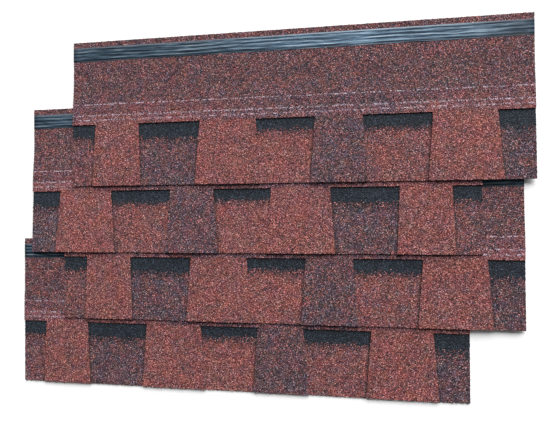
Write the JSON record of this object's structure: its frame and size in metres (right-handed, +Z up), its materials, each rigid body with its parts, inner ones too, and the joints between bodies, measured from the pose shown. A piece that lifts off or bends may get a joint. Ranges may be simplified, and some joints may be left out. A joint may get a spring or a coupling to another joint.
{
  "type": "asphalt shingle bundle",
  "caption": "Stack of laminated asphalt roofing shingles with toothed granule faces, lapped and staggered as they cover a pitched roof.",
  "frame": {"origin": "on the floor, under the middle of the stack's box", "axes": "+X along the shingles' length, +Y up the slope from the lowest butt edge, +Z up, out of the granule faces"},
  "size_m": [1.1276, 0.786, 0.0146],
  "materials": {
    "granule_ply": "red-brown mineral granules pressed into asphalt on a glass mat; rough and matt",
    "backing_ply": "dark red-brown mineral granules with a black band under each cut; sanded dark grey back",
    "release_film": "slate-blue film with long light and dark streaks; satin",
    "sealant": "black asphalt sealant; smooth and slightly shiny"
  },
  "bodies": {
    "root": {"course_1_tooth_sheet": "granule_ply", "course_1_backing_strip": "backing_ply", "course_1_release_film": "release_film", "course_1_sealant_bars": "sealant", "course_2_tooth_sheet": "granule_ply", "course_2_backing_strip": "backing_ply", "course_2_release_film": "release_film", "course_2_sealant_bars": "sealant", "course_3_tooth_sheet": "granule_ply", "course_3_backing_strip": "backing_ply", "course_3_release_film": "release_film", "course_3_sealant_bars": "sealant", "course_4_tooth_sheet": "granule_ply", "course_4_backing_strip": "backing_ply", "course_4_release_film": "release_film", "course_4_sealant_bars": "sealant"}
  },
  "joints": []
}
